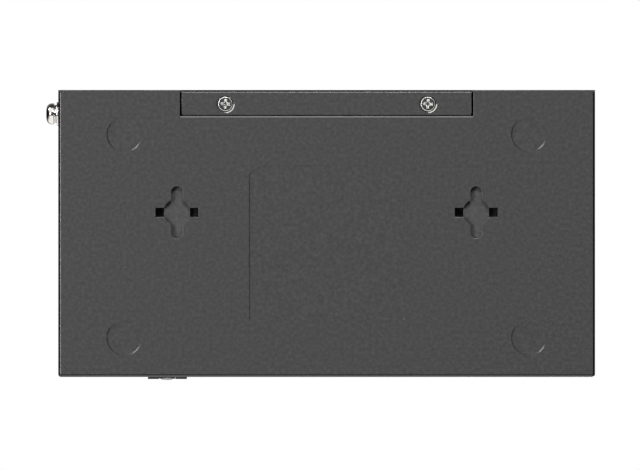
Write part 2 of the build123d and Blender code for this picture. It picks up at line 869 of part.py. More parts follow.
def light_pipe():
    """One clear moulding that carries each status light forward to its hole."""
    bar_rear_y = light_bar_y + light_bar_thickness
    bar = block(
        (light_xs[0] - light_window_width, light_bar_y, light_z - light_bar_height / 2),
        (light_xs[-1] + light_window_width, bar_rear_y, light_z + light_bar_height / 2),
    )
    under = board_top_z + led_height + led_gap
    for x in light_xs:
        bar += light_finger(x, front_y - light_gap, light_bar_y, light_gap)
        half = light_stem_width / 2
        bar += block((x - half, light_bar_y, under), (x + half, bar_rear_y, light_z))
    half = light_bar_thickness / 2
    for x in (light_xs[0] + light_pitch / 2, light_xs[-1] - light_pitch / 2):
        bar += block((x - half, light_bar_y, board_top_z), (x + half, bar_rear_y, light_z))
    return bar


def status_leds():
    """The small lamps under the light pipe."""
    y = light_bar_y + light_bar_thickness / 2
    return [
        block((x - led_width / 2, y - led_length / 2, board_top_z), (x + led_width / 2, y + led_length / 2,
              board_top_z + led_height))
        for x in light_xs
    ]


def chip(x, y, width, length, height, low=board_top_z):
    """A flat package on the board with a small chamfer round its top."""
    body = block((x - width / 2, y - length / 2, low), (x + width / 2, y + length / 2, low + height))
    return chamfer(body.faces().sort_by(Axis.Z)[-1].edges(), height * 0.2)


def heat_sink():
    """A finned heat sink on its pad over the processor."""
    low = board_top_z + processor_height + pad_height
    half = sink_size / 2
    near_x = processor_x - half
    near_y = processor_y - half
    far_y = processor_y + half
    sink = block((near_x, near_y, low), (processor_x + half, far_y, low + sink_base))
    pitch = (sink_size - sink_fin_thickness) / (sink_fin_count - 1)
    for i in range(sink_fin_count):
        x = near_x + i * pitch
        sink += block((x, near_y, low), (x + sink_fin_thickness, far_y, low + sink_height))
    return sink


def port_transformers():
    """A line transformer behind each network socket."""
    return [chip(x, magnetics_y, magnetics_width, magnetics_length, magnetics_height) for x in port_xs]


def power_inductors():
    """Moulded chokes of the power supply, with cut corners."""
    outline = chamfer(Rectangle(inductor_size, inductor_size).vertices(), inductor_corner)
    plane = Plane.XY.offset(board_top_z)
    return [extrude(plane * (Pos(inductor_x, y) * outline), amount=inductor_height) for y in inductor_ys]


def capacitors():
    """Electrolytic cans of the power supply."""
    top = board_top_z + capacitor_height
    return [rod(capacitor_width, (capacitor_x, y, board_top_z), (capacitor_x, y, top)) for y in capacitor_ys]


def crystals():
    """Two small metal crystal cans."""
    outline = chamfer(Rectangle(crystal_width, crystal_length).vertices(), crystal_corner)
    plane = Plane.XY.offset(board_top_z)
    return [extrude(plane * (Pos(x, y) * outline), amount=crystal_height) for x, y in crystal_places]


def write(name, shape):
    """Writes one piece, or a group of like pieces, as parts/NAME.step."""
    solids = []
    for item in shape if isinstance(shape, list) else [shape]:
        solids += item.solids()
    piece = solids[0] if len(solids) == 1 else Compound(children=solids)
    export_step(piece, os.path.join("parts", name + ".step"))


def build():
    """Makes every piece of the router."""
    os.makedirs("parts", exist_ok=True)
    write("base_tray", base_tray())
    write("top_cover", top_cover())
    for side, x in keyhole_places.items():
        write("wall_mount_strap_" + side, wall_mount_strap(x))
    for side, (x, y) in zip(("left", "right"), cover_screw_places):
        write("cover_screw_" + side, cover_screw(x, y))
    write("ground_screw", ground_screw())
    write("ground_spring_washer", ground_spring_washer())
    write("ground_flat_washer", ring_washer(
        ground_washer_width, ground_size + 2 * hole_gap, ground_washer_thickness, 0))
    write("ground_nut", ground_nut())
    write("insulating_film", insulating_film())
    write("board_standoffs", standoffs())
    write("board_screws", board_screws())
    write("circuit_board", circuit_board())
    write("network_jack_shield", network_jack_shield())
    write("network_jack_insert", network_jack_insert())
    write("network_jack_contacts", network_jack_contacts())
    write("optical_cage", optical_cage())
    write("optical_cage_ring", optical_cage_ring())
    write("optical_connector", optical_connector())
    write("power_jack_body", power_jack_body())
    write("power_jack_pin", power_jack_pin())
    write("power_jack_spring", power_jack_spring())
    write("reset_switch", reset_switch())
    write("reset_button", reset_button())
    write("light_pipe", light_pipe())
    write("status_leds", status_leds())
    write("processor", chip(processor_x, processor_y, processor_size, processor_size, processor_height))
    write("thermal_pad", block(
        (processor_x - processor_size / 2, processor_y - processor_size / 2, board_top_z + processor_height),
        (processor_x + processor_size / 2, processor_y + processor_size / 2,
         board_top_z + processor_height + pad_height)))
    write("processor_heat_sink", heat_sink())
    write("switch_chip", chip(switch_chip_x, switch_chip_y, switch_chip_size, switch_chip_size, chip_height))
    write("memory_chip", chip(memory_x, memory_y, memory_width, memory_length, chip_height))
    write("flash_chip", chip(flash_x, flash_y, flash_width, flash_length, chip_height))
    write("port_transformers", port_transformers())
    write("power_inductors", power_inductors())
    write("power_capacitors", capacitors())
    write("crystals", crystals())


build()
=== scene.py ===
"""Dress the five-port desktop router for its picture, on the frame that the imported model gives."""

import json
import logging
import math
from collections.abc import Callable
from dataclasses import dataclass
from enum import Enum
from typing import Any

import bpy
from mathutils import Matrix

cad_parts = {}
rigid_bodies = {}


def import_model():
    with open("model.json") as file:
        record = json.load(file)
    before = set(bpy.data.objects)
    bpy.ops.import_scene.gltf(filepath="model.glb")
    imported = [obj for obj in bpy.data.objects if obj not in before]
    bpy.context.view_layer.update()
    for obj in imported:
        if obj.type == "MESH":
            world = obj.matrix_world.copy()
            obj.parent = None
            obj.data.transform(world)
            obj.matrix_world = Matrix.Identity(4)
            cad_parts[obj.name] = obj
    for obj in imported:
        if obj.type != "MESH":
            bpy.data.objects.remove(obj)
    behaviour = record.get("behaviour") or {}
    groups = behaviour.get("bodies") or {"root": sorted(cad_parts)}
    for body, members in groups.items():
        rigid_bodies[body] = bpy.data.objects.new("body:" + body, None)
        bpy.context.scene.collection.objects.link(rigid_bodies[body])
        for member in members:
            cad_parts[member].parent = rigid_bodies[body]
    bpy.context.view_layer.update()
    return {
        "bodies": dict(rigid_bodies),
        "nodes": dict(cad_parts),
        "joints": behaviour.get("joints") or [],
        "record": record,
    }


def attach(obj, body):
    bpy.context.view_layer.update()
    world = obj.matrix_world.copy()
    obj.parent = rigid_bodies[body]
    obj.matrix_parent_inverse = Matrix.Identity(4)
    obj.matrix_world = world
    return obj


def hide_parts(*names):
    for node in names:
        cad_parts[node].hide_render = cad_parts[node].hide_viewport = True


LOG = logging.getLogger("router")
MM = 0.001
CHASSIS = "chassis"

# The two cover screws on the tab, which sit in its dimples.
SCREW_PITCH = 76.2 * MM
SCREW_ROW_Y = 48.75 * MM
# The outside of the side wall, where the ground screw's washers start.
WALL_X = 101.0 * MM

# Where a noise's middle range begins and ends.
NOISE_MIDDLE = (0.35, 0.65)

Tree = bpy.types.NodeTree
Node = bpy.types.Node
Socket = bpy.types.NodeSocket
Material = bpy.types.Material
Piece = bpy.types.Object
Colour = tuple[float, float, float, float]
Point = tuple[float, float, float]
Pair = tuple[float, float]


# Node helpers


def linear(code: str) -> Colour:
    """Turn an sRGB hex colour into the linear one that the shaders take.

    Args:
        code: The colour as "#RRGGBB".

    Returns:
        Red, green and blue as linear values, with an alpha of one.
    """
    parts = [int(code[i : i + 2], 16) / 255 for i in (1, 3, 5)]
    bands = [p / 12.92 if p <= 0.04045 else ((p + 0.055) / 1.055) ** 2.4 for p in parts]
    return (bands[0], bands[1], bands[2], 1.0)


def grey(value: float) -> Colour:
    """Return a linear grey."""
    return (value, value, value, 1.0)


def add_node(
    tree: Tree, kind: str, settings: dict | None = None, links: dict | None = None
) -> Node:
    """Add one node with its settings and links.

    Args:
        tree: The node tree that it goes into.
        kind: The node's type name.
        settings: Values by property name, or by the name or number of an input.
        links: Output sockets by the name or number of the input that they feed.

    Returns:
        The new node.
    """
    node = tree.nodes.new(kind)
    for key, value in (settings or {}).items():
        if isinstance(key, str) and key in node.bl_rna.properties:
            setattr(node, key, value)
        else:
            node.inputs[key].default_value = value
    for key, socket in (links or {}).items():
        tree.links.new(socket, node.inputs[key])
    return node


def calculate(tree: Tree, operation: str, *inputs: float | Socket) -> Socket:
    """Add one math node.

    Args:
        tree: The node tree that it goes into.
        operation: What it works out.
        inputs: A number or a socket for each of its inputs, in order.

    Returns:
        The socket with the result.
    """
    numbers = {i: value for i, value in enumerate(inputs) if isinstance(value, float)}
    sockets = {i: value for i, value in enumerate(inputs) if i not in numbers}
    settings = {"operation": operation, **numbers}
    return add_node(tree, "ShaderNodeMath", settings, sockets).outputs[0]


def rescale(tree: Tree, value: Socket, to: Pair, span: Pair = (0.0, 1.0)) -> Socket:
    """Map a value from one range to another, and hold it inside its ends.

    Args:
        tree: The node tree that it goes into.
        value: The socket with the value.
        to: The two ends of the new range.
        span: The two ends of the old range.

    Returns:
        The socket with the new value.
    """
    settings = {"From Min": span[0], "From Max": span[1], "To Min": to[0], "To Max": to[1]}
    return add_node(tree, "ShaderNodeMapRange", settings, {"Value": value}).outputs[0]


def mix(tree: Tree, share: Socket, first: Socket, second: float | Colour) -> Socket:
    """Mix a value with a fixed value, or a colour with a fixed colour.

    The mix node has its values at inputs 2 and 3 and its colours at inputs 6 and 7.

    Args:
        tree: The node tree that it goes into.
        share: The socket with the second's share.
        first: The socket with the first value or colour.
        second: The fixed value or colour.

    Returns:
        The socket with the mixture.
    """
    if isinstance(second, float):
        return add_node(tree, "ShaderNodeMix", {3: second}, {0: share, 2: first}).outputs[0]
    settings = {"data_type": "RGBA", 7: second}
    return add_node(tree, "ShaderNodeMix", settings, {0: share, 6: first}).outputs[2]


def mix_shaders(tree: Tree, share: Socket, first: Socket, second: Socket) -> Socket:
    """Mix two shaders, with a socket for the second's share."""
    return add_node(tree, "ShaderNodeMixShader", links={0: share, 1: first, 2: second}).outputs[0]


def split(tree: Tree, vector: Socket) -> bpy.types.NodeOutputs:
    """Split a vector into sockets named X, Y and Z."""
    return add_node(tree, "ShaderNodeSeparateXYZ", links={0: vector}).outputs


def object_place(tree: Tree) -> Socket:
    """Return the socket with the place on the object."""
    return add_node(tree, "ShaderNodeTexCoord").outputs["Object"]


def noise(
    tree: Tree, place: Socket, size: float, detail: float, roughness: float = 0.5
) -> Socket:
    """Add noise whose largest blotches have a given size.

    Args:
        tree: The node tree that it goes into.
        place: The socket with the place.
        size: The size of a blotch, in metres.
        detail: How many finer layers it has.
        roughness: How strong each finer layer is beside the one before it.

    Returns:
        The socket with the noise.
    """
    settings = {"Scale": 1 / size, "Detail": detail, "Roughness": roughness}
    return add_node(tree, "ShaderNodeTexNoise", settings, {"Vector": place}).outputs["Fac"]


def bumps(tree: Tree, height: Socket, depth: float, strength: float | Socket) -> Socket:
    """Turn a height into small bumps.

    Args:
        tree: The node tree that they go into.
        height: The socket with the height.
        depth: How deep the bumps are, in metres.
        strength: How strongly they show, as a number or a socket.

    Returns:
        The socket with the bumped normal.
    """
    settings: dict = {"Distance": depth}
    links = {"Height": height}
    (settings if isinstance(strength, float) else links)["Strength"] = strength
    return add_node(tree, "ShaderNodeBump", settings, links).outputs["Normal"]


def ramp(tree: Tree, factor: Socket, stops: tuple[tuple[float, str | float], ...]) -> Socket:
    """Add a colour ramp with its stops.

    Args:
        tree: The node tree that it goes into.
        factor: The socket that drives it.
        stops: Places from 0 to 1, each with a hex colour or a linear grey.

    Returns:
        The socket with the colour.
    """
    node = add_node(tree, "ShaderNodeValToRGB", links={"Fac": factor})
    band = node.color_ramp.elements
    while len(band) < len(stops):
        band.new(1.0)
    for element, (place, tone) in zip(band, stops):
        element.position = place
        element.color = linear(tone) if isinstance(tone, str) else grey(tone)
    return node.outputs["Color"]


def two_tones(tree: Tree, factor: Socket, dark: str, light: str) -> Socket:
    """Fade from one hex colour to another over the middle of a noise's range."""
    return ramp(tree, factor, tuple(zip(NOISE_MIDDLE, (dark, light))))


def new_material(name: str) -> tuple[Material, Tree, Node]:
    """Make an empty node material with one main shader.

    Args:
        name: The real material that it stands for.

    Returns:
        The material, its node tree and its main shader.
    """
    material = bpy.data.materials.new(name)
    material.use_nodes = True
    tree = material.node_tree
    tree.nodes.clear()
    shader = add_node(tree, "ShaderNodeBsdfPrincipled")
    add_node(tree, "ShaderNodeOutputMaterial", links={"Surface": shader.outputs[0]})
    return material, tree, shader


def feed(tree: Tree, shader: Node, links: dict[str, Socket], settings: dict[str, Any]) -> None:
    """Give a main shader its sockets and its constant values.

    Args:
        tree: The node tree of the material.
        shader: The main shader.
        links: Sockets by the name of the input that they feed.
        settings: Constant values by the name of the input.
    """
    for key, socket in links.items():
        tree.links.new(socket, shader.inputs[key])
    for key, value in settings.items():
        shader.inputs[key].default_value = value


# Finishes


@dataclass(frozen=True)
class PowderCoat:
    """Textured polyester powder, sprayed and baked on folded steel.

    The eye sees an even dark grey with small soft mottles, a fine grain and a dull satin gloss. A
    near-black line of painted shade runs round the outside of the side and rear folds, where the
    gloss is smoother, and a fainter line of painted shade lies where the front fold starts. A pale
    line of painted highlight runs along the fold beside the cover's tab.
    """

    name: str = "polyester_powder_coat"
    dark: str = "#393939"
    middle: str = "#414141"
    light: str = "#4A4A4A"
    gloss: Pair = (0.25, 0.35)
    mottle_size: float = 1.3 * MM
    mottle_stops: Point = (0.3, 0.5, 0.7)
    grain_size: float = 0.42 * MM
    relief: float = 0.018 * MM
    grain_strength: Pair = (0.6, 0.1)
    # Painted shade: the near-black colour that the outside of the folds takes.
    steel: str = "#0C0C0D"
    fold_side: float = 99.7 * MM
    fold_rear: float = 52.7 * MM
    fold_roughness: float = 0.16
    fold_slants: tuple[float, float, float, float] = (0.1, 0.2, 0.94, 0.98)
    # Painted highlight: the pale line along the fold beside the cover's tab.
    painted_highlight_colour: str = "#6E6E6E"
    painted_highlight_y: float = 43.87 * MM
    painted_highlight_half_width: float = 0.24 * MM
    painted_highlight_reach: float = 55.0 * MM
    painted_highlight_height: float = 0.9 * MM
    # Painted shade: a fainter dark line where the front fold starts.
    shade_line_y: float = -53.1 * MM
    shade_line_half_width: float = 0.2 * MM
    shade_line_share: float = 0.8
    shade_line_slant: float = -0.5

    def build(self) -> Material:
        """Build the material.

        Returns:
            The finished material.
        """
        material, tree, shader = new_material(self.name)
        place = object_place(tree)
        painted_shade_share = self.paint_shade_on_folds(tree, place)
        tones = zip(self.mottle_stops, (self.dark, self.middle, self.light))
        mottle = noise(tree, place, self.mottle_size, 3.0, 0.6)
        coat = ramp(tree, mottle, tuple(tones))
        # Painted shade: the outsides of the folds and the start of the front fold turn near-black.
        coat_with_painted_shade = mix(tree, painted_shade_share, coat, linear(self.steel))
        grain = noise(tree, place, self.grain_size, 2.0)
        satin = rescale(tree, grain, self.gloss)
        strength = rescale(tree, painted_shade_share, self.grain_strength)
        links = {
            # Painted highlight on the fold beside the tab, laid over the painted shade.
            "Base Color": mix(tree, self.painted_highlight_line(tree, place), coat_with_painted_shade, linear(self.painted_highlight_colour)),
            "Roughness": mix(tree, painted_shade_share, satin, self.fold_roughness),
            "Normal": bumps(tree, grain, self.relief, strength),
        }
        feed(tree, shader, links, {})
        return material

    def painted_highlight_line(self, tree: Tree, place: Socket) -> Socket:
        """Find the fold beside the cover's tab, where a pale line of painted highlight goes.

        Args:
            tree: The material's node tree.
            place: The socket with the place on the object.

        Returns:
            A socket that is 1 on the painted highlight line and 0 elsewhere.
        """
        parts = split(tree, place)
        along = calculate(tree, "COMPARE", parts["X"], 0.0, self.painted_highlight_reach)
        beside = calculate(tree, "COMPARE", parts["Y"], self.painted_highlight_y, self.painted_highlight_half_width)
        low = calculate(tree, "COMPARE", parts["Z"], 0.0, self.painted_highlight_height)
        return calculate(tree, "MULTIPLY", calculate(tree, "MULTIPLY", along, beside), low)

    def paint_shade_on_folds(self, tree: Tree, place: Socket) -> Socket:
        """Find where shade is painted: the outside of the side and rear folds, and the line where
        the front fold starts.

        Args:
            tree: The material's node tree.
            place: The socket with the place on the object.

        Returns:
            A socket with the share of painted shade.
        """
        parts = split(tree, place)
        facing = split(tree, add_node(tree, "ShaderNodeNewGeometry").outputs["Normal"])
        slant = calculate(tree, "ABSOLUTE", facing["Z"])
        turned = ramp(tree, slant, tuple(zip(self.fold_slants, (0.0, 1.0, 1.0, 0.0))))
        across = calculate(tree, "ABSOLUTE", parts["X"])
        at_side = calculate(tree, "GREATER_THAN", across, self.fold_side)
        at_rear = calculate(tree, "GREATER_THAN", parts["Y"], self.fold_rear)
        at_edge = calculate(tree, "MAXIMUM", at_side, at_rear)
        folds = calculate(tree, "MULTIPLY", at_edge, turned)
        # Painted shade: a fainter dark line on the underside where the front fold starts.
        line = calculate(tree, "COMPARE", parts["Y"], self.shade_line_y, self.shade_line_half_width)
        underneath = calculate(tree, "LESS_THAN", facing["Z"], self.shade_line_slant)
        front_shade_line = calculate(tree, "MULTIPLY", line, underneath)
        faint = calculate(tree, "MULTIPLY", front_shade_line, self.shade_line_share)
        return calculate(tree, "MAXIMUM", folds, faint)


@dataclass(frozen=True)
class Metal:
    """A bare or plated metal, with faint clouding and rub marks in its gloss.

    The eye sees clean reflections that are softened here and there by handling.
    """

    name: str
    colour: str
    stain: str
    roughness: float
    spread: float = 0.08
    least_roughness: float = 0.05
    cloud_size: float = 2.5 * MM
    rub_size: float = 0.5 * MM
    rub_stretch: Point = (1.0, 6.0, 1.0)
    rub_span: Pair = (0.3, 0.7)
    rub_depth: float = 0.01 * MM
    rub_strength: float = 0.15

    def build(self) -> Material:
        """Build the material.

        Returns:
            The finished material.
        """
        material, tree, shader = new_material(self.name)
        place = object_place(tree)
        cloud = noise(tree, place, self.cloud_size, 4.0)
        drawn = add_node(tree, "ShaderNodeMapping", {"Scale": self.rub_stretch}, {"Vector": place})
        rub = noise(tree, drawn.outputs[0], self.rub_size, 3.0, 0.6)
        least = max(self.roughness - self.spread, self.least_roughness)
        gloss = (least, self.roughness + self.spread)
        links = {
            "Base Color": two_tones(tree, cloud, self.stain, self.colour),
            "Roughness": rescale(tree, rub, gloss, self.rub_span),
            "Normal": bumps(tree, rub, self.rub_depth, self.rub_strength),
        }
        feed(tree, shader, links, {"Metallic": 1.0})
        return material


@dataclass(frozen=True)
class Moulding:
    """A moulded plastic with the fine spark-eroded grain of its tool.

    The eye sees a soft sheen that breaks up over a fine even texture.
    """

    name: str
    colour: str
    shade: str
    roughness: float
    spread: float = 0.06
    least_roughness: float = 0.03
    grain_size: float = 0.3 * MM
    flow_share: float = 12.0
    relief: float = 0.012 * MM
    grain_strength: float = 0.5
    transmission: float = 0.0
    index: float = 1.5

    def build(self) -> Material:
        """Build the material.

        Returns:
            The finished material.
        """
        material, tree, shader = new_material(self.name)
        place = object_place(tree)
        grain = noise(tree, place, self.grain_size, 3.0)
        flow = noise(tree, place, self.flow_share * self.grain_size, 2.0)
        least = max(self.roughness - self.spread, self.least_roughness)
        links = {
            "Base Color": two_tones(tree, flow, self.shade, self.colour),
            "Roughness": rescale(tree, grain, (least, self.roughness + self.spread)),
            "Normal": bumps(tree, grain, self.relief, self.grain_strength),
        }
        feed(tree, shader, links, {"IOR": self.index, "Transmission Weight": self.transmission})
        return material


@dataclass(frozen=True)
class Laminate:
    """Glass-epoxy board under black solder mask, with copper tracks that show through it.

    The eye sees a glossy black, a paler black over the tracks, and the weave's faint ripple.
    """

    name: str = "glass_epoxy_laminate"
    mask: str = "#0A0B0B"
    track: str = "#1A1C1B"
    field_size: float = 4.8 * MM
    field_spread: float = 0.7
    track_edges: Pair = (0.05, 0.06)
    weave_size: float = 0.5 * MM
    weave_depth: float = 0.005 * MM
    weave_strength: float = 0.2
    roughness: float = 0.25
    index: float = 1.55

    def build(self) -> Material:
        """Build the material.

        Returns:
            The finished material.
        """
        material, tree, shader = new_material(self.name)
        place = object_place(tree)
        settings = {"feature": "DISTANCE_TO_EDGE", "Randomness": self.field_spread}
        settings["Scale"] = 1 / self.field_size
        fields = add_node(tree, "ShaderNodeTexVoronoi", settings, {"Vector": place})
        settings = {"Scale": 1 / self.weave_size}
        weave = add_node(tree, "ShaderNodeTexChecker", settings, {"Vector": place})
        inner, outer = self.track_edges
        tones = ((0.0, self.track), (inner, self.track), (outer, self.mask))
        links = {
            "Base Color": ramp(tree, fields.outputs["Distance"], tones),
            "Normal": bumps(tree, weave.outputs["Fac"], self.weave_depth, self.weave_strength),
        }
        feed(tree, shader, links, {"Roughness": self.roughness, "IOR": self.index})
        return material


class Slot(Enum):
    """The record's material slots, each with the finish that stands for it."""

    CASE = ("case_powder_coat", PowderCoat())
    DARK_SCREW = ("dark_screw", Metal("black_zinc_plated_steel", "#69696A", "#59595A", 0.3, 0.06))
    PLATED = ("plated_steel", Metal("bright_nickel_plated_steel", "#F1EFEB", "#E2DFDA", 0.12, 0.05))
    SHIELD = ("bright_shield", Metal("tin_plated_folded_sheet", "#C9C9C8", "#B4B4B3", 0.15, 0.05))
    GOLD = ("gold_wire", Metal("gold_flashed_bronze_wire", "#E0B565", "#CFA050", 0.2))
    BLACK = ("black_plastic", Moulding("moulded_black_polyester", "#1B1B1C", "#161617", 0.42))
    CLEAR = (
        "clear_plastic",
        Moulding(
            "moulded_clear_acrylic", "#E8EDEA", "#DDE4E0", 0.22, transmission=0.55, index=1.49
        ),
    )
    FILM = ("clear_film", Moulding("black_polyester_film", "#0B0B0C", "#080809", 0.35, index=1.65))
    BOARD = ("board_laminate", Laminate())
    EPOXY = ("chip_epoxy", Moulding("moulded_epoxy_body", "#262626", "#1F1F1F", 0.55))
    ALUMINIUM = ("bare_aluminium", Metal("bead_blasted_aluminium", "#D3D4D6", "#C4C5C8", 0.38))
    PAD = ("grey_pad", Moulding("silicone_gap_pad", "#8C9096", "#7F838A", 0.8, grain_size=0.6 * MM))
    LAMP = ("lamp_white", Moulding("white_lamp_housing", "#EDEBE2", "#E2DFD4", 0.35))

    @property
    def slot(self) -> str:
        """Return the record's name of the slot."""
        return self.value[0]


class Finishes:
    """Every finish of the router, each built once."""

    def __init__(self) -> None:
        """Build all the materials."""
        self.made = {choice: choice.value[1].build() for choice in Slot}
        recess = Metal("bare_steel_in_driver_recess", "#F6F6F4", "#EAEAE8", 0.4)
        self.bright_recess = recess.build()
        self.rubbed_tin = Metal("rubbed_tin_on_latch_lip", "#F8F8F6", "#F0F0EE", 0.92).build()
        # Painted highlight: a pale matt grey for the lit side of each screw dimple.
        self.dimple_highlight_paint = Moulding("painted_highlight_in_dimple", "#B4B4B1", "#C4C4C1", 0.6).build()
        # Painted light: a lighter copy of the case's coat for the straps, which evens out the shade
        # in the keyholes.
        self.strap_coat_painted_lighter = PowderCoat(
            name="powder_coat_on_straps_painted_lighter", dark="#454545", middle="#4D4D4D", light="#565656"
        ).build()

    def dress(self, piece: Piece, choice: Slot) -> None:
        """Give a piece one finish all over.

        Args:
            piece: The piece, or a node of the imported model.
            choice: The slot that it takes its finish from.
        """
        piece.data.materials.clear()
        piece.data.materials.append(self.made[choice])


# Modelling helpers

# How near two points are merged, in metres.
LATHE_WELD = 0.002 * MM
MESH_WELD = 0.0015 * MM
# The angle within which faces count as one flat face, in degrees.
FLAT_WITHIN = 1.0
# How much of its width the tip of a driver recess keeps.
RECESS_TIP = 0.3
# The least part of a normal along an axis of a face that counts as square to it.
SQUARE_ON = 0.9
# The least angle that is rounded on screws and washers, in degrees.
TURNED_EDGE = 50.0


def select_only(piece: Piece) -> None:
    """Select one piece and nothing else."""
    bpy.ops.object.select_all(action="DESELECT")
    piece.select_set(True)
    bpy.context.view_layer.objects.active = piece


def pick(piece: Piece, kind: str, wanted: Callable[[Any], bool]) -> None:
    """Select the faces or the edges of a piece that pass a test, and stay in edit mode.

    Args:
        piece: The piece.
        kind: "FACE" or "EDGE".
        wanted: The test.
    """
    select_only(piece)
    bpy.ops.object.mode_set(mode="EDIT")
    bpy.ops.mesh.select_mode(type=kind)
    bpy.ops.mesh.select_all(action="DESELECT")
    stop_editing()
    for part in piece.data.polygons if kind == "FACE" else piece.data.edges:
        part.select = wanted(part)
    bpy.ops.object.mode_set(mode="EDIT")


def stop_editing() -> None:
    """Go back from edit mode to object mode."""
    bpy.ops.object.mode_set(mode="OBJECT")


def edit_all() -> None:
    """Start to edit the active piece, with all of it selected."""
    bpy.ops.object.mode_set(mode="EDIT")
    bpy.ops.mesh.select_all(action="SELECT")


def settle() -> None:
    """Leave the active piece's place, turn and scale in its mesh."""
    bpy.ops.object.transform_apply(location=True, rotation=True, scale=True)


def name_piece(name: str) -> Piece:
    """Name the piece that was just added, and its mesh.

    Args:
        name: The new name.

    Returns:
        The piece.
    """
    piece = bpy.context.object
    piece.name = name
    piece.data.name = name
    return piece


def apply_modifier(piece: Piece, kind: str, settings: dict) -> None:
    """Add a modifier with its settings and apply it.

    Args:
        piece: The piece that it works on.
        kind: The modifier's type.
        settings: Its values by property name.
    """
    select_only(piece)
    modifier = piece.modifiers.new(kind.lower(), kind)
    for key, value in settings.items():
        setattr(modifier, key, value)
    bpy.ops.object.modifier_apply(modifier=modifier.name)


def place(piece: Piece, at: Point, turn: Point = (0.0, 0.0, 0.0)) -> None:
    """Turn and move a piece, and leave its place in its mesh.

    Args:
        piece: The piece, modelled round the origin.
        at: Where its origin goes, in metres.
        turn: Its turn about X, Y and Z, in radians.
    """
    select_only(piece)
    piece.rotation_euler = turn
    piece.location = at
    settle()


def soften(piece: Piece, width: float, limit: float = 38.0, smooth: float = 32.0) -> None:
    """Round a piece's sharp edges a little, and shade its curved faces smooth.

    Args:
        piece: The piece.
        width: How far the rounding reaches from an edge, in metres.
        limit: The least angle between two faces that is rounded, in degrees.
        smooth: The greatest angle that is shaded smooth, in degrees.
    """
    if width > 0:
        settings = {"width": width, "segments": 2, "limit_method": "ANGLE"}
        apply_modifier(piece, "BEVEL", settings | {"angle_limit": math.radians(limit)})
    select_only(piece)
    bpy.ops.object.shade_smooth_by_angle(angle=math.radians(smooth))
    apply_modifier(piece, "WEIGHTED_NORMAL", {"keep_sharp": True, "weight": 50})


def lathe(name: str, profile: list[Pair], sides: int = 48, ring: bool = False) -> Piece:
    """Turn an outline about the Z axis by drawing a circle up through it.

    Args:
        name: The new piece's name.
        profile: Radius and height in metres, from the bottom up, or all round a ring's section.
        sides: How many sides the circle has.
        ring: Whether the outline closes on itself and leaves a hole.

    Returns:
        The new piece.
    """
    radius, height = profile[0]
    fill = "NOTHING" if ring else "NGON"
    bpy.ops.mesh.primitive_circle_add(
        vertices=sides, radius=radius, fill_type=fill, location=(0, 0, height)
    )
    piece = name_piece(name)
    settle()
    bpy.ops.object.mode_set(mode="EDIT")
    steps = profile[1:] + ([profile[0]] if ring else [])
    for next_radius, next_height in steps:
        move = {"value": (0, 0, next_height - height)}
        if ring:
            bpy.ops.mesh.extrude_edges_move(TRANSFORM_OT_translate=move)
        else:
            bpy.ops.mesh.extrude_region_move(TRANSFORM_OT_translate=move)
        share = next_radius / radius
        bpy.ops.transform.resize(value=(share, share, 1), center_override=(0, 0, next_height))
        radius, height = next_radius, next_height
    bpy.ops.mesh.select_all(action="SELECT")
    bpy.ops.mesh.remove_doubles(threshold=LATHE_WELD)
    bpy.ops.mesh.normals_make_consistent(inside=False)
    stop_editing()
    return piece


def screw_outline(head: Pair, rim: tuple[Pair, ...], shank: Point, seat: float = 0.0) -> list[Pair]:
    """Give the outline of a screw with its head up and its seat at height 0.

    Args:
        head: The head's width and height, in metres.
        rim: The head's side, as shares of its radius and height from the bottom up.
        shank: The shank's width, length and chamfer, in metres.
        seat: The chamfer under the head, in metres.

    Returns:
        Radius and height pairs, from the bottom up.
    """
    width, length, chamfer = shank
    inner, outer = width / 2, head[0] / 2
    bottom = [(inner - chamfer, -length), (inner, chamfer - length), (inner, 0), (outer - seat, 0)]
    edge = [(outer, seat)] if seat else []
    return bottom + edge + [(outer * across, head[1] * up) for across, up in rim]


def cut_cross(piece: Piece, top: float, size: Point) -> None:
    """Cut a driver recess into the top of a screw with a tapered cross.

    Args:
        piece: The screw, modelled about the Z axis.
        top: The height of its top, in metres.
        size: The span across two arms, the width of an arm and the depth, in metres.
    """
    span, width, depth = size
    bpy.ops.mesh.primitive_cube_add(size=1, location=(0, 0, 0))
    cutter = bpy.context.object
    cutter.scale = (width, width, 2 * depth)
    settle()
    for axis, side in ((0, 1), (0, -1), (1, 1), (1, -1)):
        pick(
            cutter,
            "FACE",
            lambda face: abs(face.center[1 - axis]) < width / 4
            and face.normal[axis] * side > SQUARE_ON,
        )
        step = [0.0, 0.0, 0.0]
        step[axis] = side * (span - width) / 2
        bpy.ops.mesh.extrude_region_move(TRANSFORM_OT_translate={"value": step})
        stop_editing()
    pick(cutter, "FACE", lambda face: face.normal[2] < -SQUARE_ON)
    tip = (RECESS_TIP, RECESS_TIP, 1)
    bpy.ops.transform.resize(value=tip, center_override=(0, 0, -depth))
    stop_editing()
    place(cutter, (0, 0, top))
    settings = {"operation": "DIFFERENCE", "object": cutter, "solver": "EXACT"}
    apply_modifier(piece, "BOOLEAN", settings)
    bpy.data.objects.remove(cutter)


def copy_of_node(frame: dict, node: str, name: str) -> Piece:
    """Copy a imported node's mesh into a piece of its own, merged and with its flat faces joined.

    Args:
        node: The node's name.
        name: The new piece's name.

    Returns:
        The new piece.
    """
    mesh = frame["nodes"][node].data.copy()
    mesh.name = name
    piece = bpy.data.objects.new(name, mesh)
    bpy.context.scene.collection.objects.link(piece)
    select_only(piece)
    if mesh.has_custom_normals:
        bpy.ops.mesh.customdata_custom_splitnormals_clear()
    edit_all()
    bpy.ops.mesh.remove_doubles(threshold=MESH_WELD)
    bpy.ops.mesh.dissolve_limited(angle_limit=math.radians(FLAT_WITHIN))
    stop_editing()
    return piece


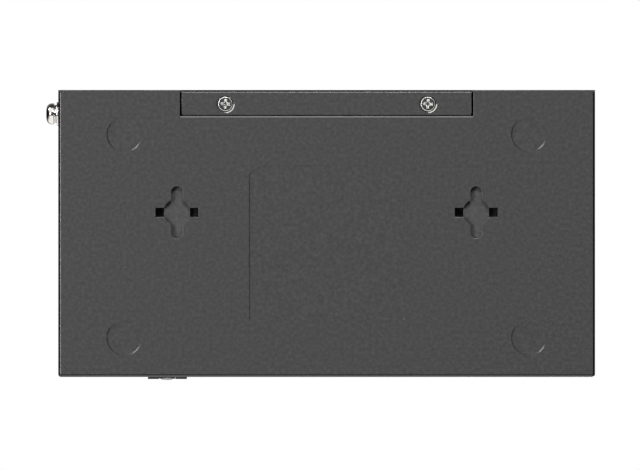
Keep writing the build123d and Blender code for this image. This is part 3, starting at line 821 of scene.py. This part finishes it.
def finish_piece(piece: Piece, body: str, nodes: tuple[str, ...]) -> None:
    """Put a finished piece on its body in place of the nodes that it stands for.

    Args:
        piece: The piece.
        body: The body that it rides on.
        nodes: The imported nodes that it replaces.
    """
    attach(piece, body)
    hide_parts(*nodes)
    LOG.info("%s: %d faces, for %s", piece.name, len(piece.data.polygons), ", ".join(nodes))


# Sub-assemblies


@dataclass
class SubAssembly:
    """A part of the router that is modelled and dressed together, with what it works on."""

    frame: dict
    finishes: Finishes

    def show(
        self, node: str, choice: Slot, rounding: float, prefix: str, body: str = CHASSIS
    ) -> Piece:
        """Stand a softened and dressed copy in for a node.

        Args:
            node: The node's name.
            choice: The slot of its finish.
            rounding: The rounding of its edges, in metres.
            prefix: What the copy's name has before the node's.
            body: The body that it rides on.

        Returns:
            The copy.
        """
        piece = copy_of_node(self.frame, node, f"{prefix}_{node}")
        soften(piece, rounding)
        self.finishes.dress(piece, choice)
        finish_piece(piece, body, (node,))
        return piece

    def dress_node(self, node: str, choice: Slot) -> None:
        """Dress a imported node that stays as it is."""
        self.finishes.dress(self.frame["nodes"][node], choice)
        LOG.info("%s dressed as %s", node, choice.slot)


@dataclass
class FoldedCase(SubAssembly):
    """The tray and the cover, folded from sheet and powder coated, and the wall-mount straps."""

    sheared_edge: float = 0.2 * MM
    sheared_height: float = 0.01 * MM
    sheared_length: float = 0.15 * MM
    sheared_angle: float = 60.0
    crease: float = 0.03 * MM
    crease_angle: float = 60.0
    dimple_radius: float = 3.5 * MM
    dimple_height: float = 1.5 * MM
    dimple_slant: float = 0.6
    cone_depth: float = 0.33 * MM
    cone_share: float = 0.911
    # Where the painted highlight goes in each dimple.
    dimple_highlight_share: float = 0.72
    dimple_highlight_radii: Pair = (2.8 * MM, 3.55 * MM)
    dimple_highlight_slants: Pair = (0.2, 0.95)

    def round_sheared_edges(self, shell: Piece) -> None:
        """Round the cut edges on the underside, where the press rolls the sheet over.

        Args:
            shell: The tray or the cover.
        """
        facing: dict[tuple[int, int], list] = {}
        for face in shell.data.polygons:
            for key in face.edge_keys:
                facing.setdefault(key, []).append(face.normal.copy())
        limit = math.radians(self.sheared_angle)
        sheared = set()
        for key, sides in facing.items():
            first, second = (shell.data.vertices[i].co for i in key)
            low = max(abs(first.z), abs(second.z)) < self.sheared_height
            long = (first - second).length > self.sheared_length
            if low and long and len(sides) == 2 and sides[0].angle(sides[1]) > limit:
                sheared.add(key)
        pick(shell, "EDGE", lambda edge: edge.key in sheared)
        bpy.ops.mesh.bevel(offset=self.sheared_edge, segments=2, affect="EDGES")
        stop_editing()

    def open_dimple(self, shell: Piece, x: float) -> None:
        """Open the rim of one screw's dimple into the cone that its punch leaves.

        Args:
            shell: The cover.
            x: The dimple's place across the cover, in metres.
        """
        pick(
            shell,
            "FACE",
            lambda face: abs(face.normal.z) < self.dimple_slant
            and face.center.z < self.dimple_height
            and math.hypot(face.center.x - x, face.center.y - SCREW_ROW_Y) < self.dimple_radius,
        )
        ring = (x, SCREW_ROW_Y, self.cone_depth)
        bpy.ops.mesh.bisect(plane_co=ring, plane_no=(0, 0, 1))
        share = (self.cone_share, self.cone_share, 1)
        bpy.ops.transform.resize(value=share, center_override=ring)
        stop_editing()

    def paint_dimple_highlights(self, shell: Piece) -> None:
        """Paint a pale highlight on the side of each dimple's cone that faces the corner lamps.

        Args:
            shell: The cover.
        """
        shell.data.materials.append(self.finishes.dimple_highlight_paint)
        inner, outer = self.dimple_highlight_radii
        upright, flat = self.dimple_highlight_slants
        for face in shell.data.polygons:
            off_x = face.center.x - math.copysign(SCREW_PITCH / 2, face.center.x)
            off_y = face.center.y - SCREW_ROW_Y
            away = math.hypot(off_x, off_y)
            on_cone = upright < abs(face.normal.z) < flat and face.center.z < self.cone_depth
            # Painted highlight: only the side of the cone that faces the corner lamps.
            facing_lamps = -(off_x + off_y) * math.sqrt(0.5) > self.dimple_highlight_share * away
            if inner < away < outer and on_cone and facing_lamps:
                face.material_index = 1

    def build(self) -> None:
        """Round the sheet's edges as the coat does, and dress all its parts."""
        for node in ("base_tray", "top_cover", "wall_mount_strap_left", "wall_mount_strap_right"):
            shell = copy_of_node(self.frame, node, f"coated_{node}")
            if node == "top_cover":
                self.open_dimple(shell, -SCREW_PITCH / 2)
                self.open_dimple(shell, SCREW_PITCH / 2)
            if "strap" not in node:
                self.round_sheared_edges(shell)
            soften(shell, self.crease, limit=self.crease_angle)
            self.finishes.dress(shell, Slot.CASE)
            if "strap" in node:
                # Painted light: the straps take the lighter copy of the coat.
                shell.data.materials[0] = self.finishes.strap_coat_painted_lighter
            if node == "top_cover":
                # Painted highlight on the lit side of each dimple.
                self.paint_dimple_highlights(shell)
            finish_piece(shell, CHASSIS, (node,))


@dataclass
class CoverScrews(SubAssembly):
    """The two dark pan-head screws in the dimples of the cover's tab."""

    face_z: float = 0.15 * MM
    head_size: Pair = (5.65 * MM, 1.55 * MM)
    rim: tuple[Pair, ...] = ((1.0, 0.62), (0.985, 0.81), (0.942, 0.935), (0.873, 1.0))
    shank: Point = (3.0 * MM, 4.6 * MM, 0.3 * MM)
    cross: Point = (5.6 * MM, 1.6 * MM, 1.0 * MM)
    recess_reach: float = 1.2
    rounding: float = 0.05 * MM
    turns: Pair = (5.0, 3.0)

    def head(self) -> Piece:
        """Model one screw about the origin, with its head up.

        Returns:
            The screw.
        """
        top = self.head_size[1]
        screw = lathe("cover_screw", screw_outline(self.head_size, self.rim, self.shank))
        cut_cross(screw, top, self.cross)
        self.finishes.dress(screw, Slot.DARK_SCREW)
        screw.data.materials.append(self.finishes.bright_recess)
        span, _, depth = self.cross
        for face in screw.data.polygons:
            middle = face.center
            inside = math.hypot(middle.x, middle.y) < span / 2
            wall = abs(face.normal.z) < SQUARE_ON
            if inside and wall and self.rounding < top - middle.z < depth * self.recess_reach:
                face.material_index = 1
        soften(screw, self.rounding, limit=TURNED_EDGE)
        return screw

    def build(self) -> None:
        """Place the two screws, heads down."""
        places = (-SCREW_PITCH / 2, SCREW_PITCH / 2)
        for side, x, turn in zip(("left", "right"), places, self.turns):
            screw = self.head()
            screw.name = f"pan_screw_{side}"
            screw.data.name = screw.name
            seat = (x, SCREW_ROW_Y, self.face_z + self.head_size[1])
            place(screw, seat, (math.pi, 0, math.radians(turn)))
            finish_piece(screw, CHASSIS, (f"cover_screw_{side}",))


@dataclass
class GroundTerminal(SubAssembly):
    """The bright earthing screw on the side wall, with its spring washer, flat washer and nut."""

    axis_y: float = 45.2 * MM
    axis_z: float = 14.0 * MM
    shank: Point = (4.0 * MM, 8.0 * MM, 0.4 * MM)
    head_size: Pair = (7.95 * MM, 2.9 * MM)
    seat_chamfer: float = 0.12 * MM
    rim: tuple[Pair, ...] = (
        (1.0, 0.3),
        (0.985, 0.46),
        (0.94, 0.62),
        (0.86, 0.76),
        (0.74, 0.88),
        (0.58, 0.96),
        (0.4, 1.0),
    )
    washer_width: float = 8.95 * MM
    washer_thickness: float = 0.9 * MM
    washer_clearance: float = 0.15 * MM
    washer_rounding: float = 0.14 * MM
    spring_width: float = 6.8 * MM
    spring_thickness: float = 1.05 * MM
    spring_clearance: float = 0.1 * MM
    spring_rise: float = 0.12 * MM
    spring_split: float = 14.0
    spring_steps: int = 56
    spring_rounding: float = 0.08 * MM
    cross: Point = (4.4 * MM, 1.2 * MM, 1.8 * MM)
    rounding: float = 0.05 * MM
    sides: int = 64

    def screw(self) -> Piece:
        """Model the screw about the origin, with its head's seat on the ground plane.

        Returns:
            The screw.
        """
        outline = screw_outline(self.head_size, self.rim, self.shank, self.seat_chamfer)
        piece = lathe("earthing_screw", outline, self.sides)
        cut_cross(piece, self.head_size[1], self.cross)
        soften(piece, self.rounding, limit=TURNED_EDGE)
        return piece

    def spring_washer(self) -> Piece:
        """Model the split washer as a section swept nearly once round with a slight rise.

        Returns:
            The washer.
        """
        outer = self.spring_width / 2
        inner = self.shank[0] / 2 + self.spring_clearance
        height = self.spring_thickness - self.spring_rise
        bpy.ops.mesh.primitive_plane_add(
            size=1, location=((inner + outer) / 2, 0, height / 2), rotation=(math.pi / 2, 0, 0)
        )
        piece = name_piece("split_spring_washer")
        piece.scale = (outer - inner, height, 1)
        settle()
        edit_all()
        bpy.ops.mesh.delete(type="ONLY_FACE")
        stop_editing()
        sweep = {
            "angle": math.radians(360 - self.spring_split),
            "screw_offset": self.spring_rise,
            "steps": self.spring_steps,
            "render_steps": self.spring_steps,
            "axis": "Z",
            "use_merge_vertices": True,
        }
        apply_modifier(piece, "SCREW", sweep)
        edit_all()
        bpy.ops.mesh.fill_holes(sides=4)
        bpy.ops.mesh.normals_make_consistent(inside=False)
        stop_editing()
        soften(piece, self.spring_rounding, limit=TURNED_EDGE)
        return piece

    def flat_washer(self) -> Piece:
        """Model the flat washer, with the rounded edge of a stamped one.

        Returns:
            The washer.
        """
        outer = self.washer_width / 2
        inner = self.shank[0] / 2 + self.washer_clearance
        thick = self.washer_thickness
        section = [(inner, 0), (outer, 0), (outer, thick), (inner, thick)]
        piece = lathe("stamped_flat_washer", section, self.sides, ring=True)
        soften(piece, self.washer_rounding, limit=TURNED_EDGE)
        return piece

    def build(self) -> None:
        """Model the stack and seat it on the wall."""
        stack = (
            (self.flat_washer(), 0.0, "ground_flat_washer"),
            (self.spring_washer(), self.washer_thickness, "ground_spring_washer"),
            (self.screw(), self.washer_thickness + self.spring_thickness, "ground_screw"),
        )
        for piece, start, node in stack:
            place(piece, (WALL_X + start, self.axis_y, self.axis_z), (0, math.pi / 2, 0))
            self.finishes.dress(piece, Slot.PLATED)
            finish_piece(piece, CHASSIS, (node,))
        self.dress_node("ground_nut", Slot.PLATED)


@dataclass
class FrontSockets(SubAssembly):
    """The network sockets, the optical module cage and the power inlet along the front wall."""

    sheet_rounding: float = 0.04 * MM
    moulding_rounding: float = 0.12 * MM
    lip_slope: float = 20.0
    lip_flatness: float = 0.99
    lip_y: float = -54.0 * MM

    def rub_lip(self, cage: Piece) -> None:
        """Give the latch's turned-down lip the dull finish that modules rub on it.

        Args:
            cage: The cage with its latch.
        """
        cage.data.materials.append(self.finishes.rubbed_tin)
        slope = math.radians(self.lip_slope)
        for face in cage.data.polygons:
            along = face.normal.y * math.sin(slope) - face.normal.z * math.cos(slope)
            if abs(along) > self.lip_flatness and face.center.y < self.lip_y:
                face.material_index = 1

    def build(self) -> None:
        """Soften the folded and moulded parts that show, and dress the rest."""
        softened = (
            ("network_jack_shield", Slot.SHIELD, self.sheet_rounding),
            ("network_jack_insert", Slot.BLACK, 0.0),
            ("optical_cage", Slot.SHIELD, self.sheet_rounding),
            ("optical_cage_ring", Slot.SHIELD, self.sheet_rounding),
            ("power_jack_body", Slot.BLACK, self.moulding_rounding),
            ("power_jack_pin", Slot.PLATED, self.moulding_rounding),
        )
        for node, choice, rounding in softened:
            piece = self.show(node, choice, rounding, "shown")
            if node == "optical_cage":
                self.rub_lip(piece)
        self.dress_node("network_jack_contacts", Slot.GOLD)
        self.dress_node("optical_connector", Slot.BLACK)
        self.dress_node("power_jack_spring", Slot.PLATED)


@dataclass
class FrontControls(SubAssembly):
    """The reset button behind its pinhole, and the light pipe with its lamps."""

    rounding: float = 0.08 * MM

    def build(self) -> None:
        """Soften the moulded parts, and dress the rest."""
        self.show("reset_button", Slot.BLACK, self.rounding, "moulded", "reset_button")
        self.show("light_pipe", Slot.CLEAR, self.rounding, "moulded")
        self.dress_node("reset_switch", Slot.BLACK)
        self.dress_node("status_leds", Slot.LAMP)


@dataclass
class BoardAssembly(SubAssembly):
    """The circuit board with its chips and cans, seen only through the openings."""

    choices: tuple[tuple[str, Slot], ...] = (
        ("circuit_board", Slot.BOARD),
        ("insulating_film", Slot.FILM),
        ("board_standoffs", Slot.PLATED),
        ("board_screws", Slot.PLATED),
        ("processor", Slot.EPOXY),
        ("thermal_pad", Slot.PAD),
        ("processor_heat_sink", Slot.ALUMINIUM),
        ("switch_chip", Slot.EPOXY),
        ("memory_chip", Slot.EPOXY),
        ("flash_chip", Slot.EPOXY),
        ("port_transformers", Slot.EPOXY),
        ("power_inductors", Slot.EPOXY),
        ("power_capacitors", Slot.ALUMINIUM),
        ("crystals", Slot.SHIELD),
    )

    def build(self) -> None:
        """Dress the board's nodes."""
        for node, choice in self.choices:
            self.dress_node(node, choice)


ASSEMBLIES = (FoldedCase, CoverScrews, GroundTerminal, FrontSockets, FrontControls, BoardAssembly)


# Studio


@dataclass(frozen=True)
class Lamp:
    """One soft rectangular lamp that faces the router, in metres and watts."""

    name: str
    at: Point
    size: Pair
    power: float
    mirrored: bool = True

    def hang(self) -> None:
        """Hang the lamp in its place, in or out of sight of glossy surfaces."""
        data = bpy.data.lights.new(self.name, "AREA")
        data.shape = "RECTANGLE"
        data.size, data.size_y = self.size
        data.energy = self.power
        lamp = bpy.data.objects.new(self.name, data)
        bpy.context.scene.collection.objects.link(lamp)
        lamp.location = self.at
        lamp.visible_glossy = self.mirrored
        lamp.rotation_euler = (-lamp.location).to_track_quat("-Z", "Y").to_euler()


LAMPS = (
    Lamp("key_from_corner", (1.79, 1.79, -0.55), (1.17, 0.58), 21.0),
    Lamp("fill_from_corner", (1.79, 1.79, -0.55), (1.17, 0.58), 16.0, mirrored=False),
    Lamp("key_from_left", (2.56, 0.3, -4.5), (1.2, 1.2), 108.0),
    Lamp("key_from_rear", (-0.4, 2.56, -4.5), (1.2, 1.2), 108.0),
    Lamp("soft_fill", (1.25, 1.25, -3.47), (1.17, 1.17), 15.0, mirrored=False),
    Lamp("softbox_above_front", (-0.9, -1.5, 1.5), (1.2, 1.2), 36.0),
    Lamp("softbox_above_rear", (-1.3, 1.1, 1.4), (1.0, 1.0), 20.0),
)


@dataclass
class Studio:
    """The camera, the lamps, the pale floor and the white surroundings.

    The surroundings' levels go by the height of a direction, from 0 straight down to 1 straight up.
    """

    lens: float = 500.0
    sensor: float = 36.0
    view_width: float = 240.75 * MM
    aim_x: float = 2.5 * MM
    aim_y: float = -0.56 * MM
    sight: float = 50.0
    floor_size: float = 6.0
    floor_drop: float = 0.4 * MM
    floor_colour: str = "#F4F4F4"
    floor_roughness: float = 0.9
    gloss_levels: tuple[Pair, ...] = (
        (0.0, 0.04),
        (0.03, 0.04),
        (0.042, 1.0),
        (0.26, 1.0),
        (0.34, 0.04),
        (0.75, 0.04),
        (0.8, 0.2),
    )
    soft_levels: tuple[Pair, ...] = (
        (0.0, 0.4),
        (0.15, 0.4),
        (0.3, 0.1),
        (0.52, 0.1),
        (0.75, 0.6),
        (1.0, 0.7),
    )
    front_level: float = 1.1
    front_fade: Pair = (-0.35, -0.75)
    shaded_level: float = 0.1
    shaded_fade: Pair = (-0.4, -0.15)
    sky_fade: Pair = (0.0, 0.3)
    gap_level: float = 0.1
    gap_half_width: float = 0.3
    gap_from: float = 0.12

    def camera(self) -> None:
        """Set the camera under the router, as in the photograph, far off with a long lens."""
        distance = self.view_width * self.lens / self.sensor
        bpy.ops.object.camera_add(
            location=(self.aim_x, self.aim_y, -distance), rotation=(0, math.pi, 0)
        )
        camera = bpy.context.object
        camera.data.lens = self.lens
        camera.data.sensor_width = self.sensor
        camera.data.clip_end = self.sight
        bpy.context.scene.camera = camera

    def floor(self) -> None:
        """Lay a pale floor that the camera sees only from above, so that it can look up past it."""
        bpy.ops.mesh.primitive_plane_add(size=self.floor_size, location=(0, 0, -self.floor_drop))
        floor = bpy.context.object
        floor.name = "studio_floor"
        material, tree, shader = new_material("matt_white_paper")
        paper = {"Base Color": linear(self.floor_colour), "Roughness": self.floor_roughness}
        feed(tree, shader, {}, paper)
        seen = add_node(tree, "ShaderNodeLightPath").outputs["Is Camera Ray"]
        from_below = add_node(tree, "ShaderNodeNewGeometry").outputs["Backfacing"]
        shown = calculate(tree, "MULTIPLY", seen, calculate(tree, "SUBTRACT", 1.0, from_below))
        clear = add_node(tree, "ShaderNodeBsdfTransparent").outputs[0]
        output = next(n for n in tree.nodes if n.type == "OUTPUT_MATERIAL")
        tree.links.new(mix_shaders(tree, shown, clear, shader.outputs[0]), output.inputs[0])
        floor.data.materials.append(material)

    def seen_in_gloss(
        self, tree: Tree, parts: bpy.types.NodeOutputs, height: Socket, side: Socket
    ) -> Socket:
        """Make the surroundings that gloss reflects, with a dark gap level with the router.

        Args:
            tree: The world's node tree.
            parts: The sockets with the parts of the direction.
            height: The socket with the height of the direction.
            side: The socket with the soft light's share in the direction.

        Returns:
            The socket with the background.
        """
        to_front = rescale(tree, parts["Y"], (0.0, 1.0), self.front_fade)
        levels = ramp(tree, height, self.gloss_levels)
        colour = mix(tree, to_front, levels, grey(self.front_level))
        level = calculate(tree, "COMPARE", parts["Y"], 0.0, self.gap_half_width)
        to_left = calculate(tree, "GREATER_THAN", parts["X"], self.gap_from)
        gap = calculate(tree, "MULTIPLY", level, to_left)
        outside_gap = rescale(tree, gap, (1.0, self.gap_level))
        lit = calculate(tree, "MAXIMUM", side, to_front)
        strength = calculate(tree, "MULTIPLY", lit, outside_gap)
        links = {"Color": colour, "Strength": strength}
        return add_node(tree, "ShaderNodeBackground", links=links).outputs[0]

    def world(self) -> None:
        """Surround the router with white for the camera, and with softer light for the rest."""
        world = bpy.data.worlds.new("white_studio")
        bpy.context.scene.world = world
        world.use_nodes = True
        tree = world.node_tree
        tree.nodes.clear()
        rays = add_node(tree, "ShaderNodeLightPath").outputs
        parts = split(tree, add_node(tree, "ShaderNodeTexCoord").outputs["Generated"])
        height = rescale(tree, parts["Z"], (0.0, 1.0), (-1.0, 1.0))
        shaded = rescale(tree, parts["X"], (self.shaded_level, 1.0), self.shaded_fade)
        sky = rescale(tree, parts["Z"], (0.0, 1.0), self.sky_fade)
        side = calculate(tree, "MAXIMUM", shaded, sky)
        glow = ramp(tree, height, self.soft_levels)
        links = {"Color": glow, "Strength": side}
        soft = add_node(tree, "ShaderNodeBackground", links=links).outputs[0]
        white = add_node(tree, "ShaderNodeBackground", {"Color": grey(1.0)}).outputs[0]
        mirrored = self.seen_in_gloss(tree, parts, height, side)
        glossy = calculate(tree, "MAXIMUM", rays["Is Glossy Ray"], rays["Is Transmission Ray"])
        around = mix_shaders(tree, glossy, soft, mirrored)
        shown = mix_shaders(tree, rays["Is Camera Ray"], around, white)
        add_node(tree, "ShaderNodeOutputWorld", links={"Surface": shown})

    def build(self) -> None:
        """Set up the camera, the lamps, the floor and the world."""
        bpy.context.scene.view_settings.view_transform = "Standard"
        self.camera()
        self.floor()
        self.world()
        for lamp in LAMPS:
            lamp.hang()


def main() -> None:
    """Load the frame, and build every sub-assembly in order."""
    logging.basicConfig(level=logging.INFO, format="%(name)s: %(message)s")
    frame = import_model()
    Studio().build()
    finishes = Finishes()
    for assembly in ASSEMBLIES:
        LOG.info("building %s", assembly.__name__)
        assembly(frame, finishes).build()


if __name__ == "__main__":
    main()
